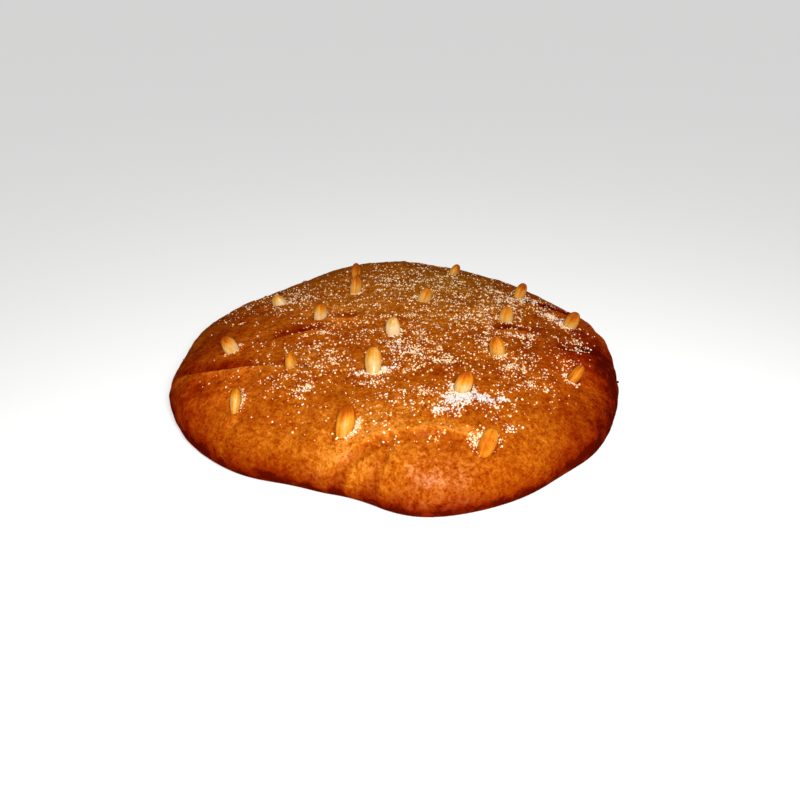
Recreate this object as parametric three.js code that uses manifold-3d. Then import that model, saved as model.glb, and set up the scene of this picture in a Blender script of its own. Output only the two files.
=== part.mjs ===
// An olive oil biscuit: one broad, low round of oil dough, baked on a flat tray until golden brown.
// Whole blanched almonds were pushed into the dough before baking, and sugar was scattered over the top.
// The dough was patted out by hand, so its edge is uneven and its skin is drawn into soft folds.
// Millimetres, +Z up, with the origin on the surface it lies on, under the middle of the biscuit.
// The side towards -Y is the front.

import * as THREE from "three";
import { mergeVertices } from "three/addons/utils/BufferGeometryUtils.js";
import Module from "manifold-3d";

// ---- Driving dimensions of the baked round ----

const DOME_HEIGHT = 42; // the middle of the top, before its swells
const FOOT_HEIGHT = 8.5; // where the side is widest, above the flat underside
const DOME_POWER = 2.3; // 2 is an ellipse; more gives a flatter top and a steeper side
const EDGE_RADIUS = 130.5; // the mean radius at the widest height
const TUCK = 5; // how far the side draws in below its widest height
const EDGE_CALM = 0.85; // the share of the top's relief that fades out towards the edge
const CALM_POWER = 8; // more keeps the relief further out before it fades

// Where the edge bulges or draws in: towards and spread in degrees from +X, out in millimetres.
const EDGE_LOBES = [
  { towards: 15, spread: 9, out: 5.5 },
  { towards: 25, spread: 14, out: -4.5 },
  { towards: 100, spread: 20, out: 10 },
  { towards: 132, spread: 18, out: -4.5 },
  { towards: 172, spread: 14, out: 1 },
  { towards: 204, spread: 22, out: 6.5 },
  { towards: 243, spread: 12, out: -7.5 },
  { towards: 260, spread: 10, out: -9.5 },
  { towards: 270, spread: 12, out: 3 },
  { towards: 288, spread: 11, out: 3 },
  { towards: 318, spread: 11, out: 2 },
];

// Finer waves of the edge: how many go round, their height and where they start.
const EDGE_WAVES = [
  { count: 11, out: 0.5, start: 1 },
  { count: 17, out: 0.35, start: 0.4 },
];

// Soft swells and hollows of the top.
const SWELLS = [
  { x: 10, y: -112, spread: 30, rise: 4 },
  { x: -72, y: -74, spread: 34, rise: 2.5 },
  { x: -38, y: -100, spread: 14, rise: 1.5 },
  { x: 78, y: -74, spread: 38, rise: 2 },
  { x: 104, y: -26, spread: 22, rise: 2 },
  { x: -102, y: 0, spread: 30, rise: 1 },
  { x: 5, y: 92, spread: 34, rise: 2.5 },
  { x: -84, y: 76, spread: 30, rise: -2.5 },
  { x: 84, y: 70, spread: 30, rise: -1 },
  { x: 10, y: -30, spread: 35, rise: -1 },
];

// Folds of the skin. Walking along a fold, the lip is on the right and the groove on the left, and bow bends
// the middle of the line to the right. Lip and groove are heights, and ahead and behind are their widths.
const FOLDS = [
  { from: [-126, -38], to: [-60, -53], bow: 3.5, lip: 2.2, groove: 2, ahead: 10, behind: 6 },
  { from: [-70, -22], to: [-44, -14], bow: 0, lip: 1.8, groove: 1.8, ahead: 8, behind: 5 },
  { from: [-43, 1], to: [-24, -3], bow: 2, lip: 1.6, groove: 1.6, ahead: 6, behind: 4 },
  { from: [50, -21], to: [84, -19], bow: -6.5, lip: 1.6, groove: 2, ahead: 8, behind: 6 },
  { from: [72, 39], to: [110, 21], bow: 3, lip: 1.6, groove: 2, ahead: 9, behind: 5 },
  { from: [40, -109], to: [-2, -107], bow: 1, lip: 1.2, groove: 2, ahead: 9, behind: 9 },
  { from: [2, -107], to: [-38, -119], bow: 4, lip: 1.4, groove: 1.8, ahead: 8, behind: 8 },
  { from: [-36, -122], to: [-3, -110], bow: -1, lip: 0.9, groove: 0.9, ahead: 5, behind: 5 },
  { from: [-14, -132], to: [-2, -107], bow: 1, lip: 1.8, groove: 1.8, ahead: 10, behind: 5 },
  { from: [86, -31], to: [130, -18], bow: 0, lip: 1.6, groove: 2, ahead: 9, behind: 7 },
];
const FOLD_STEP = 3; // half the width of the step from groove to lip
const FOLD_RUN_OUT = 0.15; // how far a fold runs past its ends as it fades, as a share of its length
const FOLD_FADE = 1.2; // more makes a fold fade sooner towards its ends

// Two crossed ripples keep the skin from looking turned: the broad one runs along X and Y, the fine one
// across them. Lengths are those of a wave over 2 pi, and starts are in radians.
const BROAD_RIPPLE = { lengths: [13, 15], starts: [0.7, -0.4], height: 0.5 };
const FINE_RIPPLE = { lengths: [7.5, 9], starts: [1.9, 0.3], height: 0.3 };

// ---- Driving dimensions of the almonds ----

const ALMOND = { length: 20.5, width: 9.6, thick: 7 };
const ALMOND_TAPER = { tip: 0.66, blunt: 0.42 }; // 0.5 is a round end; more is a more pointed one
const ALMOND_GAP = 0.35; // between an almond and the dough round it
const DIMPLE = { depth: 1.3, spread: 7.5 }; // the dough sinks where an almond was pushed in

// x, y: where it stands. out: how much shows. lean, towards: its tilt and the way its top tips, in degrees
// from +X. face: the way its broad side looks. Its blunt end shows, because it was pushed in by its point.
const ALMONDS = [
  { x: -30.4, y: 74.4, out: 8, lean: 3, towards: 77, face: -28, size: 0.84 },
  { x: -28.7, y: 40.1, out: 10.6, lean: 18, towards: 79, face: -45, size: 0.88 },
  { x: 37.7, y: 83, out: 7.3, lean: 30, towards: 23, face: -35, size: 0.92 },
  { x: 78.3, y: 46.6, out: 9.9, lean: 24, towards: 40, face: -65, size: 0.86 },
  { x: 103.3, y: 6, out: 10.8, lean: 16, towards: -20, face: -90, size: 0.93 },
  { x: 15, y: 23.6, out: 8.3, lean: 18, towards: 10, face: -58, size: 0.95 },
  { x: 63.3, y: 1.3, out: 8.8, lean: 9, towards: 40, face: -76, size: 0.96 },
  { x: 53.4, y: -39.6, out: 9.7, lean: 10, towards: 155, face: -100, size: 0.94 },
  { x: -4, y: -18.6, out: 9.8, lean: 3, towards: 100, face: -86, size: 0.92 },
  { x: -47.5, y: 1, out: 8.7, lean: 8, towards: 59, face: -44, size: 0.89 },
  { x: -75.9, y: 26.7, out: 6.7, lean: 22, towards: 178, face: -86, size: 0.97 },
  { x: -95, y: -28, out: 8.8, lean: 28, towards: 165, face: -39, size: 0.93 },
  { x: -57.9, y: -52.6, out: 7.5, lean: 10, towards: 91, face: -10, size: 0.84 },
  { x: -14.4, y: -57.8, out: 12.7, lean: 44, towards: 84, face: -96, size: 0.98 },
  { x: 31.4, y: -75.5, out: 10.7, lean: 16, towards: 38, face: -77, size: 0.99 },
  { x: 92, y: -55.7, out: 8.9, lean: 45, towards: 33, face: -22, size: 0.91 },
  { x: -83.2, y: -77.8, out: 8.8, lean: 46, towards: 90, face: 10, size: 0.84 },
  { x: -26.6, y: -99.5, out: 12, lean: 42, towards: 76, face: -84, size: 1.01 },
  { x: 40.2, y: -111.2, out: 9.7, lean: 43, towards: 56, face: -72, size: 0.92 },
  { x: -70, y: 106, out: 5, lean: 72, towards: 120, face: 120, size: 0.95 },
  { x: 3, y: 131, out: 5.5, lean: 74, towards: 92, face: 92, size: 1 },
  { x: 82, y: 100, out: 5.5, lean: 72, towards: 52, face: 52, size: 0.92 },
];

// ---- Driving dimensions of the sugar ----

// Where sugar lies on the top: amount is the share that it covers in the middle of the patch.
const SUGAR_PATCHES = [
  { x: 25, y: 5, spread: 85, amount: 0.17 },
  { x: 30, y: -86, spread: 12, amount: 1 },
  { x: 47, y: -83, spread: 8, amount: 0.9 },
  { x: 18, y: -91, spread: 7, amount: 0.8 },
  { x: -14, y: -68, spread: 11, amount: 0.6 },
  { x: -44, y: -66, spread: 9, amount: 0.3 },
  { x: 34, y: -112, spread: 7, amount: 0.5 },
  { x: 57, y: -97, spread: 7, amount: 0.5 },
  { x: 83, y: -60, spread: 6, amount: 0.7 },
  { x: 92, y: 14, spread: 9, amount: 0.6 },
  { x: 51, y: 1, spread: 8, amount: 0.45 },
  { x: 0, y: 56, spread: 14, amount: 0.3 },
];
const SUGAR_CLUMPS = 84; // they form where the sugar lies thick
const CLUMP = { least: 1.5, most: 2.7, flat: 0.8 }; // edge of the clumps, and their height as a share of it
const SUGAR_SINK = 0.2; // the share of a clump's edge by which its middle lies under the skin
const SUGAR_REACH = 0.86; // no sugar stayed nearer to the edge than this share of the radius
const SUGAR_CLEAR = 7.5; // from an almond's middle, so that clumps stay off the almonds
const SEED = 20;

// ---- How finely the meshes are divided ----

const TOP_RINGS = 29;
const TUCK_RINGS = 2;
const RING_SIDES = 6; // each ring has this many more vertices than the one inside it
const PROFILE_STEPS = 400; // for measuring equal steps along the skin
const ALMOND_SIDES = 10;
const ALMOND_STEPS = 7; // from end to end
const SETTLE_STEPS = 6; // for finding the skin over a given point
const MERGE_WITHIN = 1e-4;

const fullTurn = Math.PI * 2;
const radians = THREE.MathUtils.degToRad;
const bell = (distance, spread) => Math.exp(-((distance / spread) ** 2));
const away = (place, x, y) => Math.hypot(x - place.x, y - place.y);

function edgeRadius(angle) {
  let radius = EDGE_RADIUS;
  for (const lobe of EDGE_LOBES) {
    const turned = angle - radians(lobe.towards) + Math.PI;
    const off = THREE.MathUtils.euclideanModulo(turned, fullTurn) - Math.PI;
    radius += lobe.out * bell(off, radians(lobe.spread));
  }
  for (const wave of EDGE_WAVES) radius += wave.out * Math.sin(wave.count * angle + wave.start);
  return radius;
}

// Height of one fold over the plain skin at x, y.
function foldRise(x, y, fold) {
  const course = [fold.to[0] - fold.from[0], fold.to[1] - fold.from[1]];
  const length = Math.hypot(...course);
  const [ux, uy] = [course[0] / length, course[1] / length];
  const [dx, dy] = [x - fold.from[0], y - fold.from[1]];
  const along = (dx * ux + dy * uy) / length;
  const run = THREE.MathUtils.clamp((along + FOLD_RUN_OUT) / (1 + 2 * FOLD_RUN_OUT), 0, 1);
  const fade = Math.sin(Math.PI * run) ** FOLD_FADE;
  const ahead = dx * uy - dy * ux - fold.bow * 4 * along * (1 - along);
  const step = 0.5 + 0.5 * Math.tanh(ahead / FOLD_STEP);
  const lip = fold.lip * step * bell(ahead, fold.ahead);
  const groove = fold.groove * (1 - step) * bell(ahead, fold.behind);
  return fade * (lip - groove);
}

function rippleRise(along, across, ripple) {
  const [first, second] = ripple.lengths;
  const [firstStart, secondStart] = ripple.starts;
  return ripple.height * Math.sin(along / first + firstStart) * Math.sin(across / second + secondStart);
}

// Height of all the soft forms of the skin at x, y.
function relief(x, y) {
  let rise = rippleRise(x, y, BROAD_RIPPLE) + rippleRise(x + y, x - y, FINE_RIPPLE);
  for (const swell of SWELLS) rise += swell.rise * bell(away(swell, x, y), swell.spread);
  for (const fold of FOLDS) rise += foldRise(x, y, fold);
  for (const almond of ALMONDS) rise -= DIMPLE.depth * bell(away(almond, x, y), DIMPLE.spread);
  return rise;
}

// A point of the domed skin: share runs from 0 in the middle to 1 where the side is widest.
function skinPoint(angle, share) {
  const radius = edgeRadius(angle);
  const domeShare = (1 - share ** DOME_POWER) ** (1 / DOME_POWER);
  const dome = DOME_HEIGHT - FOOT_HEIGHT;
  const out = share ** (DOME_POWER - 1) / radius;
  const up = domeShare ** (DOME_POWER - 1) / dome;
  const [x, y] = [radius * share * Math.cos(angle), radius * share * Math.sin(angle)];
  const calm = 1 - EDGE_CALM * share ** CALM_POWER;
  const rise = (relief(x, y) * calm) / Math.hypot(out, up);
  const reach = radius * share + out * rise;
  const height = FOOT_HEIGHT + dome * domeShare + up * rise;
  return new THREE.Vector3(reach * Math.cos(angle), reach * Math.sin(angle), height);
}

// A point of the side below its widest height: turn runs from 0 there to 1 at the flat underside.
function tuckPoint(angle, turn) {
  const radius = edgeRadius(angle);
  const bend = (turn * Math.PI) / 2;
  const rise = relief(radius * Math.cos(angle), radius * Math.sin(angle)) * Math.cos(bend) * (1 - EDGE_CALM);
  const reach = radius - TUCK * (1 - Math.cos(bend)) + rise;
  const height = FOOT_HEIGHT * (1 - Math.sin(bend));
  return new THREE.Vector3(reach * Math.cos(angle), reach * Math.sin(angle), height);
}

// Shares of the radius at equal steps along the skin of a round of the mean radius.
function equalShares(count) {
  const profile = [];
  for (let i = 0; i <= PROFILE_STEPS; i++) {
    const bend = (i / PROFILE_STEPS) * (Math.PI / 2);
    profile.push(
      new THREE.Vector2(
        EDGE_RADIUS * Math.sin(bend) ** (2 / DOME_POWER),
        (DOME_HEIGHT - FOOT_HEIGHT) * Math.cos(bend) ** (2 / DOME_POWER),
      ),
    );
  }
  const path = new THREE.SplineCurve(profile);
  return path.getSpacedPoints(count).map((point) => Math.min(point.x / EDGE_RADIUS, 1));
}

// Joins two rings of vertices, given as lists of indices that go round once, with a band of triangles.
function band(inner, outer, triangles) {
  const turned = (step, ring) => (step + 0.5) / ring.length;
  const vertex = (step, ring) => ring[step % ring.length];
  let [i, o] = [0, 0];
  while (i < inner.length || o < outer.length) {
    const corner = [vertex(i, inner), vertex(o, outer)];
    if (turned(o, outer) <= turned(i, inner)) {
      o += 1;
      triangles.push(...corner, vertex(o, outer));
    } else {
      i += 1;
      triangles.push(...corner, vertex(i, inner));
    }
  }
}

function roundGeometry() {
  const points = [skinPoint(0, 0)];
  const triangles = [];
  const addRing = (count, place) => {
    const ring = [];
    for (let k = 0; k < count; k++) ring.push(points.push(place((k / count) * fullTurn)) - 1);
    return ring;
  };
  const shares = equalShares(TOP_RINGS);
  let last = [0];
  for (let r = 1; r <= TOP_RINGS; r++) {
    const ring = addRing(r * RING_SIDES, (angle) => skinPoint(angle, shares[r]));
    if (r === 1) ring.forEach((v, k) => triangles.push(0, v, ring[(k + 1) % ring.length]));
    else band(last, ring, triangles);
    last = ring;
  }
  for (let r = 1; r <= TUCK_RINGS; r++) {
    const ring = addRing(last.length, (angle) => tuckPoint(angle, r / TUCK_RINGS));
    band(last, ring, triangles);
    last = ring;
  }
  const foot = last.map((v) => new THREE.Vector2(points[v].x, points[v].y));
  for (const [a, b, c] of THREE.ShapeUtils.triangulateShape(foot, [])) {
    triangles.push(last[c], last[b], last[a]);
  }
  return new THREE.BufferGeometry().setFromPoints(points).setIndex(triangles);
}

// An almond kernel standing on +Z, its blunt end up. A socket is the same form, grown by a gap on every side.
function almondGeometry(almond, grow = 0) {
  const { tip, blunt } = ALMOND_TAPER;
  const fullness = (along) => (1 + along) ** tip * (1 - along) ** blunt;
  const widest = fullness((tip - blunt) / (tip + blunt));
  const full = (side) => side * almond.size + 2 * grow;
  const [length, width, thick] = [full(ALMOND.length), full(ALMOND.width), full(ALMOND.thick)];
  const profile = [];
  for (let i = 0; i <= ALMOND_STEPS; i++) {
    const along = -Math.cos((i / ALMOND_STEPS) * Math.PI);
    profile.push(new THREE.Vector2(((width / 2) * fullness(along)) / widest, (along * length) / 2));
  }
  return new THREE.LatheGeometry(profile, ALMOND_SIDES).scale(1, 1, thick / width).rotateX(Math.PI / 2);
}

// Where an almond is: turned to face its way, and leant.
function almondPlace(almond) {
  const [yAxis, zAxis] = [new THREE.Vector3(0, 1, 0), new THREE.Vector3(0, 0, 1)];
  const axis = zAxis.clone();
  axis.applyAxisAngle(yAxis, radians(almond.lean)).applyAxisAngle(zAxis, radians(almond.towards));
  const leant = new THREE.Quaternion().setFromUnitVectors(zAxis, axis);
  const turned = new THREE.Quaternion().setFromAxisAngle(zAxis, radians(almond.face + 90));
  const sunk = almond.out - (ALMOND.length * almond.size) / 2;
  return {
    position: skinAt(almond.x, almond.y).addScaledVector(axis, sunk),
    quaternion: leant.multiply(turned),
  };
}

// The skin's own point over x, y, near enough for setting things on it.
function skinAt(x, y) {
  const angle = Math.atan2(y, x);
  let share = Math.hypot(x, y) / edgeRadius(angle);
  for (let i = 0; i < SETTLE_STEPS; i++) {
    const found = skinPoint(angle, share);
    share *= Math.hypot(x, y) / Math.hypot(found.x, found.y);
  }
  return skinPoint(angle, share);
}

// ---- Joining and cutting ----

const wasm = await Module();
wasm.setup();

function solidOf(geometry) {
  const bare = new THREE.BufferGeometry().setAttribute("position", geometry.getAttribute("position"));
  const merged = mergeVertices(bare.setIndex(geometry.index), MERGE_WITHIN);
  const indices = [...merged.index.array];
  const triVerts = [];
  for (let i = 0; i < indices.length; i += 3) {
    const [a, b, c] = indices.slice(i, i + 3);
    if (a !== b && b !== c && c !== a) triVerts.push(a, b, c);
  }
  return new wasm.Manifold(
    new wasm.Mesh({
      numProp: 3,
      vertProperties: merged.getAttribute("position").array,
      triVerts: new Uint32Array(triVerts),
    }),
  );
}

function geometryOf(solid) {
  const mesh = solid.getMesh();
  return new THREE.BufferGeometry()
    .setAttribute("position", new THREE.BufferAttribute(mesh.vertProperties, 3))
    .setIndex(new THREE.BufferAttribute(mesh.triVerts, 1));
}

// A seeded draw from 0 to 1, so that the sugar falls in the same place each time.
function seededDraw(seed) {
  const [multiplier, modulus] = [16807, 2 ** 31 - 1];
  let state = seed;
  return () => {
    state = (state * multiplier) % modulus;
    return (state - 1) / (modulus - 1);
  };
}

function sugarAmount(x, y) {
  let amount = 0;
  for (const patch of SUGAR_PATCHES) amount += patch.amount * bell(away(patch, x, y), patch.spread);
  return amount;
}

// The clumps of sugar: small tilted crystals, half sunk in the skin and thickest where the patches are.
function sugarClumps() {
  const draw = seededDraw(SEED);
  const clumps = [];
  while (clumps.length < SUGAR_CLUMPS) {
    const [angle, share] = [draw() * fullTurn, Math.sqrt(draw()) * SUGAR_REACH];
    const reach = share * edgeRadius(angle);
    const [x, y] = [reach * Math.cos(angle), reach * Math.sin(angle)];
    const edge = THREE.MathUtils.lerp(CLUMP.least, CLUMP.most, draw() ** 2);
    const turn = new THREE.Euler(draw() * Math.PI, draw() * Math.PI, draw() * Math.PI);
    const wanted = draw() < sugarAmount(x, y) ** 2;
    const clear =
      ALMONDS.every((almond) => away(almond, x, y) > SUGAR_CLEAR) &&
      clumps.every((clump) => away(clump, x, y) > CLUMP.most);
    if (wanted && clear) clumps.push({ x, y, edge, turn });
  }
  return clumps;
}

function clumpGeometry({ x, y, edge, turn }) {
  const matrix = new THREE.Matrix4().makeRotationFromEuler(turn);
  const skin = skinAt(x, y);
  matrix.setPosition(skin.x, skin.y, skin.z - SUGAR_SINK * edge);
  return new THREE.BoxGeometry(edge, edge, edge * CLUMP.flat).applyMatrix4(matrix);
}

// ---- The pieces ----

const biscuit = new THREE.Group();

const crustMaterial = new THREE.MeshStandardMaterial({ color: 0xa85a1c, roughness: 0.55, metalness: 0 });
const almondMaterial = new THREE.MeshStandardMaterial({ color: 0xe0a860, roughness: 0.5, metalness: 0 });

// The baked dough, with a socket for each almond and the larger clumps of sugar baked on.
function addCrust() {
  let crust = solidOf(roundGeometry());
  for (const clump of sugarClumps()) crust = crust.add(solidOf(clumpGeometry(clump)));
  for (const almond of ALMONDS) {
    const { position, quaternion } = almondPlace(almond);
    const place = new THREE.Matrix4().compose(position, quaternion, new THREE.Vector3(1, 1, 1));
    crust = crust.subtract(solidOf(almondGeometry(almond, ALMOND_GAP).applyMatrix4(place)));
  }
  const mesh = new THREE.Mesh(geometryOf(crust), crustMaterial);
  mesh.name = "crust";
  biscuit.add(mesh);
}

function addAlmonds() {
  ALMONDS.forEach((almond, i) => {
    const { position, quaternion } = almondPlace(almond);
    const mesh = new THREE.Mesh(almondGeometry(almond), almondMaterial);
    mesh.name = `almond_${String(i + 1).padStart(2, "0")}`;
    mesh.position.copy(position);
    mesh.quaternion.copy(quaternion);
    biscuit.add(mesh);
  });
}

addCrust();
addAlmonds();

// The origin goes under the middle of the biscuit's own box.
const middle = new THREE.Box3().setFromObject(biscuit).getCenter(new THREE.Vector3());
biscuit.position.set(-middle.x, -middle.y, 0);

export default biscuit;
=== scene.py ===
import math

import bmesh
import bpy
import numpy as np
from mathutils import Matrix, Quaternion, Vector, noise


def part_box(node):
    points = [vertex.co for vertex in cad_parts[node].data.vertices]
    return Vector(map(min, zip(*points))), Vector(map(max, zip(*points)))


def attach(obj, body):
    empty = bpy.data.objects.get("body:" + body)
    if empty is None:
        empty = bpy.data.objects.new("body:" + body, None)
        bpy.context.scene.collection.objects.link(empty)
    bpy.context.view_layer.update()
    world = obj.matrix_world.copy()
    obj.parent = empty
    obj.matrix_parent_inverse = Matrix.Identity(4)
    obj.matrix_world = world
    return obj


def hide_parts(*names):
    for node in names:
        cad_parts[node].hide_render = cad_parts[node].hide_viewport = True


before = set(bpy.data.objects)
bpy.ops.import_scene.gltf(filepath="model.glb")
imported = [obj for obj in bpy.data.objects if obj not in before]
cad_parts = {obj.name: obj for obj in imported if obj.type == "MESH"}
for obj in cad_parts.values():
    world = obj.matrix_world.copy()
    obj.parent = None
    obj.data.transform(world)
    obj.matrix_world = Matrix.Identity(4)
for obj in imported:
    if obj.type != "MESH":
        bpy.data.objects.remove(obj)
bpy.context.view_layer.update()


# ---- The crust ----
# One round of soft oil dough, patted out by hand and baked on a flat tray. The patting left swells, folds and a
# wavy edge; the oven drew the foot in, wrinkled the skin and browned it, most of all along the edge.

MM = 0.001

DOME_HEIGHT = 42.0  # the middle of the top, before its swells
FOOT_HEIGHT = 8.5  # where the side is widest
DOME_POWER = 2.3
EDGE_RADIUS = 130.5
TUCK = 5.0  # how far the side draws in below its widest height
EDGE_CALM = 0.85  # how much of the relief is lost at the edge, and how late on the way there
CALM_POWER = 8

# towards and spread in degrees from +X, out in millimetres
EDGE_LOBES = [
    (15, 9, 5.5), (25, 14, -4.5), (100, 20, 10), (132, 18, -4.5), (172, 14, 1), (204, 22, 6.5),
    (243, 12, -7.5), (260, 10, -9.5), (270, 12, 3), (288, 11, 3), (318, 11, 2),
]
EDGE_WAVES = [(11, 0.5, 1.0), (17, 0.35, 0.4)]  # how many go round, their height, where they start

# x, y, spread, rise
SWELLS = [
    (10, -112, 30, 4), (-72, -74, 34, 2.5), (-38, -100, 14, 1.5), (78, -74, 38, 2), (104, -26, 22, 2),
    (-102, 0, 30, 1), (5, 92, 34, 2.5), (-84, 76, 30, -2.5), (84, 70, 30, -1), (10, -30, 35, -1),
]

# from, to, bow, height of the lip, depth of the groove, width of each, how brown the steep side is (baked browner,
# with painted shade on it), and how pale the lip is (stretched dough, with a painted highlight along its ridge;
# under 0 is a browner one). A walker along the fold has the lip on the right
FOLDS = [
    ((-126, -38), (-60, -53), 3.5, 2.2, 2, 10, 6, 0.3, 0.34),
    ((-70, -22), (-44, -14), 0, 1.8, 1.8, 8, 5, 0.5, 0.22),
    ((-43, 1), (-24, -3), 2, 1.6, 1.6, 6, 4, 0.5, 0.22),
    ((50, -21), (84, -19), -6.5, 1.6, 2, 8, 6, 0.38, 0.25),
    ((72, 39), (110, 21), 3, 1.6, 2, 9, 5, 0.75, 0.2),
    ((40, -109), (-2, -107), 1, 1.2, 2, 9, 9, 0.05, 0.46),
    ((2, -107), (-38, -119), 4, 1.4, 1.8, 8, 8, 0.04, 0.4),
    ((-36, -122), (-3, -110), -1, 0.9, 0.9, 5, 5, 0.04, 0.26),
    ((-14, -132), (-2, -107), 1, 1.8, 1.8, 10, 5, 0.12, 0.1),
    ((86, -31), (130, -18), 0, 1.6, 2, 9, 7, 0.26, -0.12),
]
FOLD_STEP = 2.2  # half the width of the slope between groove and lip
FOLD_EDGE = 0.8  # the same, for the browning
FOLD_RUN_OUT = 0.15  # how far a fold runs on past its ends, as a share of its length
FOLD_FADE = 1.2
# how far ahead of the fold's line each lies, and its spread
FOLD_HOLLOW = (-3.5, 5.0)
FOLD_STRETCHED = (3.5, 4.5)
FOLD_CREASE = (-1, 2)
FOLD_RIDGE = (1.6, 1.5)

# low ripples all over: height, and the length and start of the two waves that cross
RIPPLES_STRAIGHT = (0.5, 13, 0.7, 15, -0.4)
RIPPLES_SLANTING = (0.3, 7.5, 1.9, 9, 0.3)

# A large almond kernel. tip and blunt: 0.5 is a round end, more is a more pointed one
KERNEL = {"length": 20.5, "width": 9.6, "thick": 7.0, "tip": 0.66, "blunt": 0.42}

# Where the almonds were pushed in by their points: x, y, how much shows, lean and the way it leans, the way the
# broad side looks, size, and how far the top and the foot of what shows are toasted, about 0 to 1
ALMONDS = [
    (-30.4, 74.4, 8, 3, 77, -28, 0.84, 1.1, 0.6),
    (-28.7, 40.1, 10.6, 18, 79, -45, 0.88, 0.85, 0.4),
    (37.7, 83, 7.3, 30, 23, -35, 0.92, 1.05, 0.45),
    (78.3, 46.6, 9.9, 24, 40, -65, 0.86, 1.05, 0.45),
    (103.3, 6, 10.8, 16, -20, -90, 0.93, 1.0, 0.3),
    (15, 23.6, 8.3, 18, 10, -58, 0.95, 0.75, 0.3),
    (63.3, 1.3, 8.8, 9, 40, -76, 0.96, 0.75, 0.3),
    (53.4, -39.6, 9.7, 10, 155, -100, 0.94, 0.85, 0.38),
    (-4, -18.6, 9.8, 3, 100, -86, 0.92, 0.35, -0.15),
    (-47.5, 1, 8.7, 8, 59, -44, 0.89, 0.8, 0.1),
    (-75.9, 26.7, 6.7, 22, 178, -86, 0.97, 0.5, 0.1),
    (-95, -28, 8.8, 28, 165, -39, 0.93, 1.05, 0.2),
    (-57.9, -52.6, 7.5, 10, 91, -10, 0.84, 0.8, 0.42),
    (-14.4, -57.8, 12.7, 44, 84, -96, 0.98, 0.6, 0.25),
    (31.4, -75.5, 10.7, 16, 38, -77, 0.99, 1.0, 0.2),
    (92, -55.7, 8.9, 45, 33, -22, 0.91, 0.8, 0.75),
    (-83.2, -77.8, 8.8, 46, 90, 10, 0.84, 0.85, 0.45),
    (-26.6, -99.5, 12, 42, 76, -84, 1.01, 1.15, 0.55),
    (40.2, -111.2, 9.7, 43, 56, -72, 0.92, 0.62, 0.78),
    (-70, 106, 5, 72, 120, 120, 0.95, 0.7, 0.4),
    (3, 131, 5.5, 74, 92, 92, 1.0, 0.9, 0.5),
    (82, 100, 5.5, 72, 52, 52, 0.92, 0.8, 0.5),
]
DIMPLE = {"depth": 1.3, "spread": 7.5}

# Where the crust browned more or less than the rest: x, y, spread, how much
BROWNED = [
    (-118, -40, 30, 0.32), (-100, -82, 26, 0.19), (122, -38, 28, 0.55), (114, 0, 22, 0.32), (100, -84, 26, 0.42),
    (-104, 10, 26, 0.22), (72, -14, 16, 0.2), (92, 36, 18, 0.26), (34, 20, 10, 0.14), (-58, -46, 13, -0.1),
    (-88, -68, 14, -0.22), (-14, -98, 16, -0.16), (22, -55, 26, 0.09), (-36, 18, 24, -0.14), (16, 20, 40, -0.09),
    (-64, -14, 12, 0.12), (-50, -22, 12, 0.16), (-66, -66, 11, 0.12), (12, -106, 11, 0.2), (60, -92, 12, -0.06),
    (116, -54, 13, 0.14), (97, -62, 12, -0.2), (58, -60, 14, 0.2), (74, -36, 13, 0.22), (48, -4, 9, -0.14),
    (8, 62, 50, -0.06), (0, 118, 30, 0.1), (74, 88, 26, 0.19), (81, -67, 11, -0.16), (42, -24, 8, 0.14),
    (36, -92, 9, 0.14), (-20, -93, 9, -0.16), (-100, -33, 9, -0.14), (-88, -14, 9, -0.12), (-80, -85, 10, -0.1),
    (30, 60, 13, -0.16), (54, 14, 13, -0.12), (104, -55, 8, -0.14), (-42, 70, 14, -0.1),
]


def bell(distance, spread):
    return np.exp(-((distance / spread) ** 2))


def smooth(value, low, high):
    """0 below low, 1 above high, smooth between."""
    share = np.clip((value - low) / (high - low), 0, 1)
    return share * share * (3 - 2 * share)


def with_patches(values, x, y, rows):
    """Adds round patches to the values at each point. A row has x, y, spread and how much in the middle."""
    for px, py, spread, amount in rows:
        values = values + amount * bell(np.hypot(x - px, y - py), spread)
    return values


def edge_radius(angle):
    """How far out the edge is, each way."""
    radius = EDGE_RADIUS + 0 * angle
    for towards, spread, out in EDGE_LOBES:
        off = (np.degrees(angle) - towards + 180) % 360 - 180
        radius = radius + out * bell(off, spread)
    for count, out, start in EDGE_WAVES:
        radius = radius + out * np.sin(count * angle + start)
    return radius


def fold_parts(x, y, fold):
    """How high one fold lifts the skin, and how near its hollow, its lip, its crease and its ridge are, 0 to 1."""
    (x0, y0), (x1, y1), bow, lip, groove, ahead_width, behind_width = fold[:7]
    length = math.hypot(x1 - x0, y1 - y0)
    ux, uy = (x1 - x0) / length, (y1 - y0) / length
    along = ((x - x0) * ux + (y - y0) * uy) / length
    run = np.clip((along + FOLD_RUN_OUT) / (1 + 2 * FOLD_RUN_OUT), 0, 1)
    fade = np.sin(np.pi * run) ** FOLD_FADE
    ahead = (x - x0) * uy - (y - y0) * ux - bow * 4 * along * (1 - along)
    step = 0.5 + 0.5 * np.tanh(ahead / FOLD_STEP)
    lift = fade * (lip * step * bell(ahead, ahead_width) - groove * (1 - step) * bell(ahead, behind_width))
    sharp = 0.5 + 0.5 * np.tanh(ahead / FOLD_EDGE)
    near = lambda line, spread: bell(ahead - line, spread)
    hollow, stretched = (1 - sharp) * near(*FOLD_HOLLOW), sharp * near(*FOLD_STRETCHED)
    return lift, fade * hollow, fade * stretched, fade * near(*FOLD_CREASE), fade * near(*FOLD_RIDGE)


def ripples(u, v, height, u_length, u_start, v_length, v_start):
    """Two waves that cross, along u and along v."""
    return height * np.sin(u / u_length + u_start) * np.sin(v / v_length + v_start)


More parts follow.
